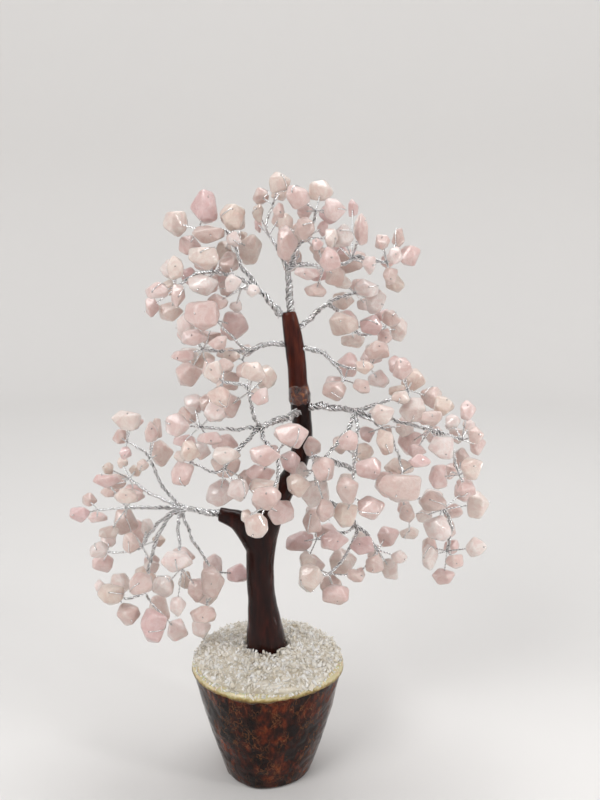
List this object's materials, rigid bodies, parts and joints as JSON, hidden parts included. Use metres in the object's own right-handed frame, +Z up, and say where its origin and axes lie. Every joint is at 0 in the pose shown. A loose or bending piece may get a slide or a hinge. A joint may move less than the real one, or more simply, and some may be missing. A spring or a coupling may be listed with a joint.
{
  "type": "gemstone tree ornament",
  "caption": "Table-top wire tree: tapered bark log, heap of crushed quartz, lacquered trunk, and limbs of twisted wire whose twigs each end in a tumbled rose quartz chip.",
  "frame": {"origin": "centre of the log's flat underside", "axes": "+Z up along the log and trunk; the pictured front faces -Y; +X to the viewer's right"},
  "size_m": [0.2027, 0.1009, 0.2961],
  "materials": {
    "heartwood": "sawn, sealed with varnish",
    "bark": "bark under glossy varnish",
    "glue": "dried clear glue, yellowed",
    "crushed_quartz": "crushed, translucent white",
    "silver_wire": "bright, twisted",
    "brown_lacquer": "high-gloss dark brown lacquer",
    "knuckle_glue": "glossy, amber-brown",
    "rose_quartz": "tumbled, waxy polish, translucent"
  },
  "bodies": {
    "trunk": {"log_heartwood": "heartwood", "log_bark": "bark", "glue_layer": "glue", "quartz_bed": "crushed_quartz", "quartz_grains": "crushed_quartz", "trunk_wire_core": "silver_wire", "lower_trunk_wrap": "brown_lacquer", "upper_trunk_wrap": "brown_lacquer", "knuckle_bead": "knuckle_glue"},
    "crest": {"crest_wires": "silver_wire", "crest_twigs": "silver_wire", "crest_chips": "rose_quartz"},
    "crown_left": {"crown_left_wires": "silver_wire", "crown_left_twigs": "silver_wire", "crown_left_chips": "rose_quartz"},
    "left_upper": {"left_upper_wires": "silver_wire", "left_upper_twigs": "silver_wire", "left_upper_chips": "rose_quartz"},
    "right_upper": {"right_upper_wires": "silver_wire", "right_upper_twigs": "silver_wire", "right_upper_chips": "rose_quartz"},
    "right_small": {"right_small_wires": "silver_wire", "right_small_twigs": "silver_wire", "right_small_chips": "rose_quartz"},
    "left_front": {"left_front_wires": "silver_wire", "left_front_twigs": "silver_wire", "left_front_chips": "rose_quartz"},
    "right_main": {"right_main_wires": "silver_wire", "right_main_twigs": "silver_wire", "right_main_chips": "rose_quartz"},
    "right_low": {"right_low_wires": "silver_wire", "right_low_twigs": "silver_wire", "right_low_chips": "rose_quartz"},
    "right_hanging": {"right_hanging_wires": "silver_wire", "right_hanging_twigs": "silver_wire", "right_hanging_chips": "rose_quartz"},
    "left_low": {"left_low_wires": "silver_wire", "left_low_twigs": "silver_wire", "left_low_chips": "rose_quartz"}
  },
  "joints": [
    {"name": "crest_bend", "type": "hinge", "parent": "trunk", "child": "crest", "pos_m": [0.01201, 0, 0.23483], "axis": [1, 0, 0], "range_deg": [-4, 20]},
    {"name": "crown_left_bend", "type": "hinge", "parent": "trunk", "child": "crown_left", "pos_m": [0.00654, -0.00066, 0.23384], "axis": [0, 0, 1], "range_deg": [-8, 12]},
    {"name": "left_upper_bend", "type": "hinge", "parent": "trunk", "child": "left_upper", "pos_m": [0.00856, -0.00041, 0.21924], "axis": [0, 0, 1], "range_deg": [-10, 10]},
    {"name": "right_upper_bend", "type": "hinge", "parent": "trunk", "child": "right_upper", "pos_m": [0.01594, 0.00245, 0.2262], "axis": [0, 0, 1], "range_deg": [-12, 20]},
    {"name": "right_small_bend", "type": "hinge", "parent": "trunk", "child": "right_small", "pos_m": [0.01847, -0.00125, 0.21724], "axis": [0, 0, 1], "range_deg": [-8, 20]},
    {"name": "left_front_bend", "type": "hinge", "parent": "trunk", "child": "left_front", "pos_m": [0.01528, -0.00455, 0.18755], "axis": [0, 0, 1], "range_deg": [-6, 6]},
    {"name": "right_main_bend", "type": "hinge", "parent": "trunk", "child": "right_main", "pos_m": [0.02128, -0.00177, 0.1897], "axis": [0, 0, 1], "range_deg": [-6, 8]},
    {"name": "right_low_bend", "type": "hinge", "parent": "trunk", "child": "right_low", "pos_m": [0.01962, 0.00292, 0.1642], "axis": [0, 0, 1], "range_deg": [-20, 20]},
    {"name": "right_hanging_bend", "type": "hinge", "parent": "trunk", "child": "right_hanging", "pos_m": [0.01338, 0.00321, 0.1474], "axis": [0, 0, 1], "range_deg": [-20, 20]},
    {"name": "left_low_bend", "type": "hinge", "parent": "trunk", "child": "left_low", "pos_m": [-0.02286, 0, 0.13594], "axis": [0, 0, 1], "range_deg": [-10, 20]}
  ]
}
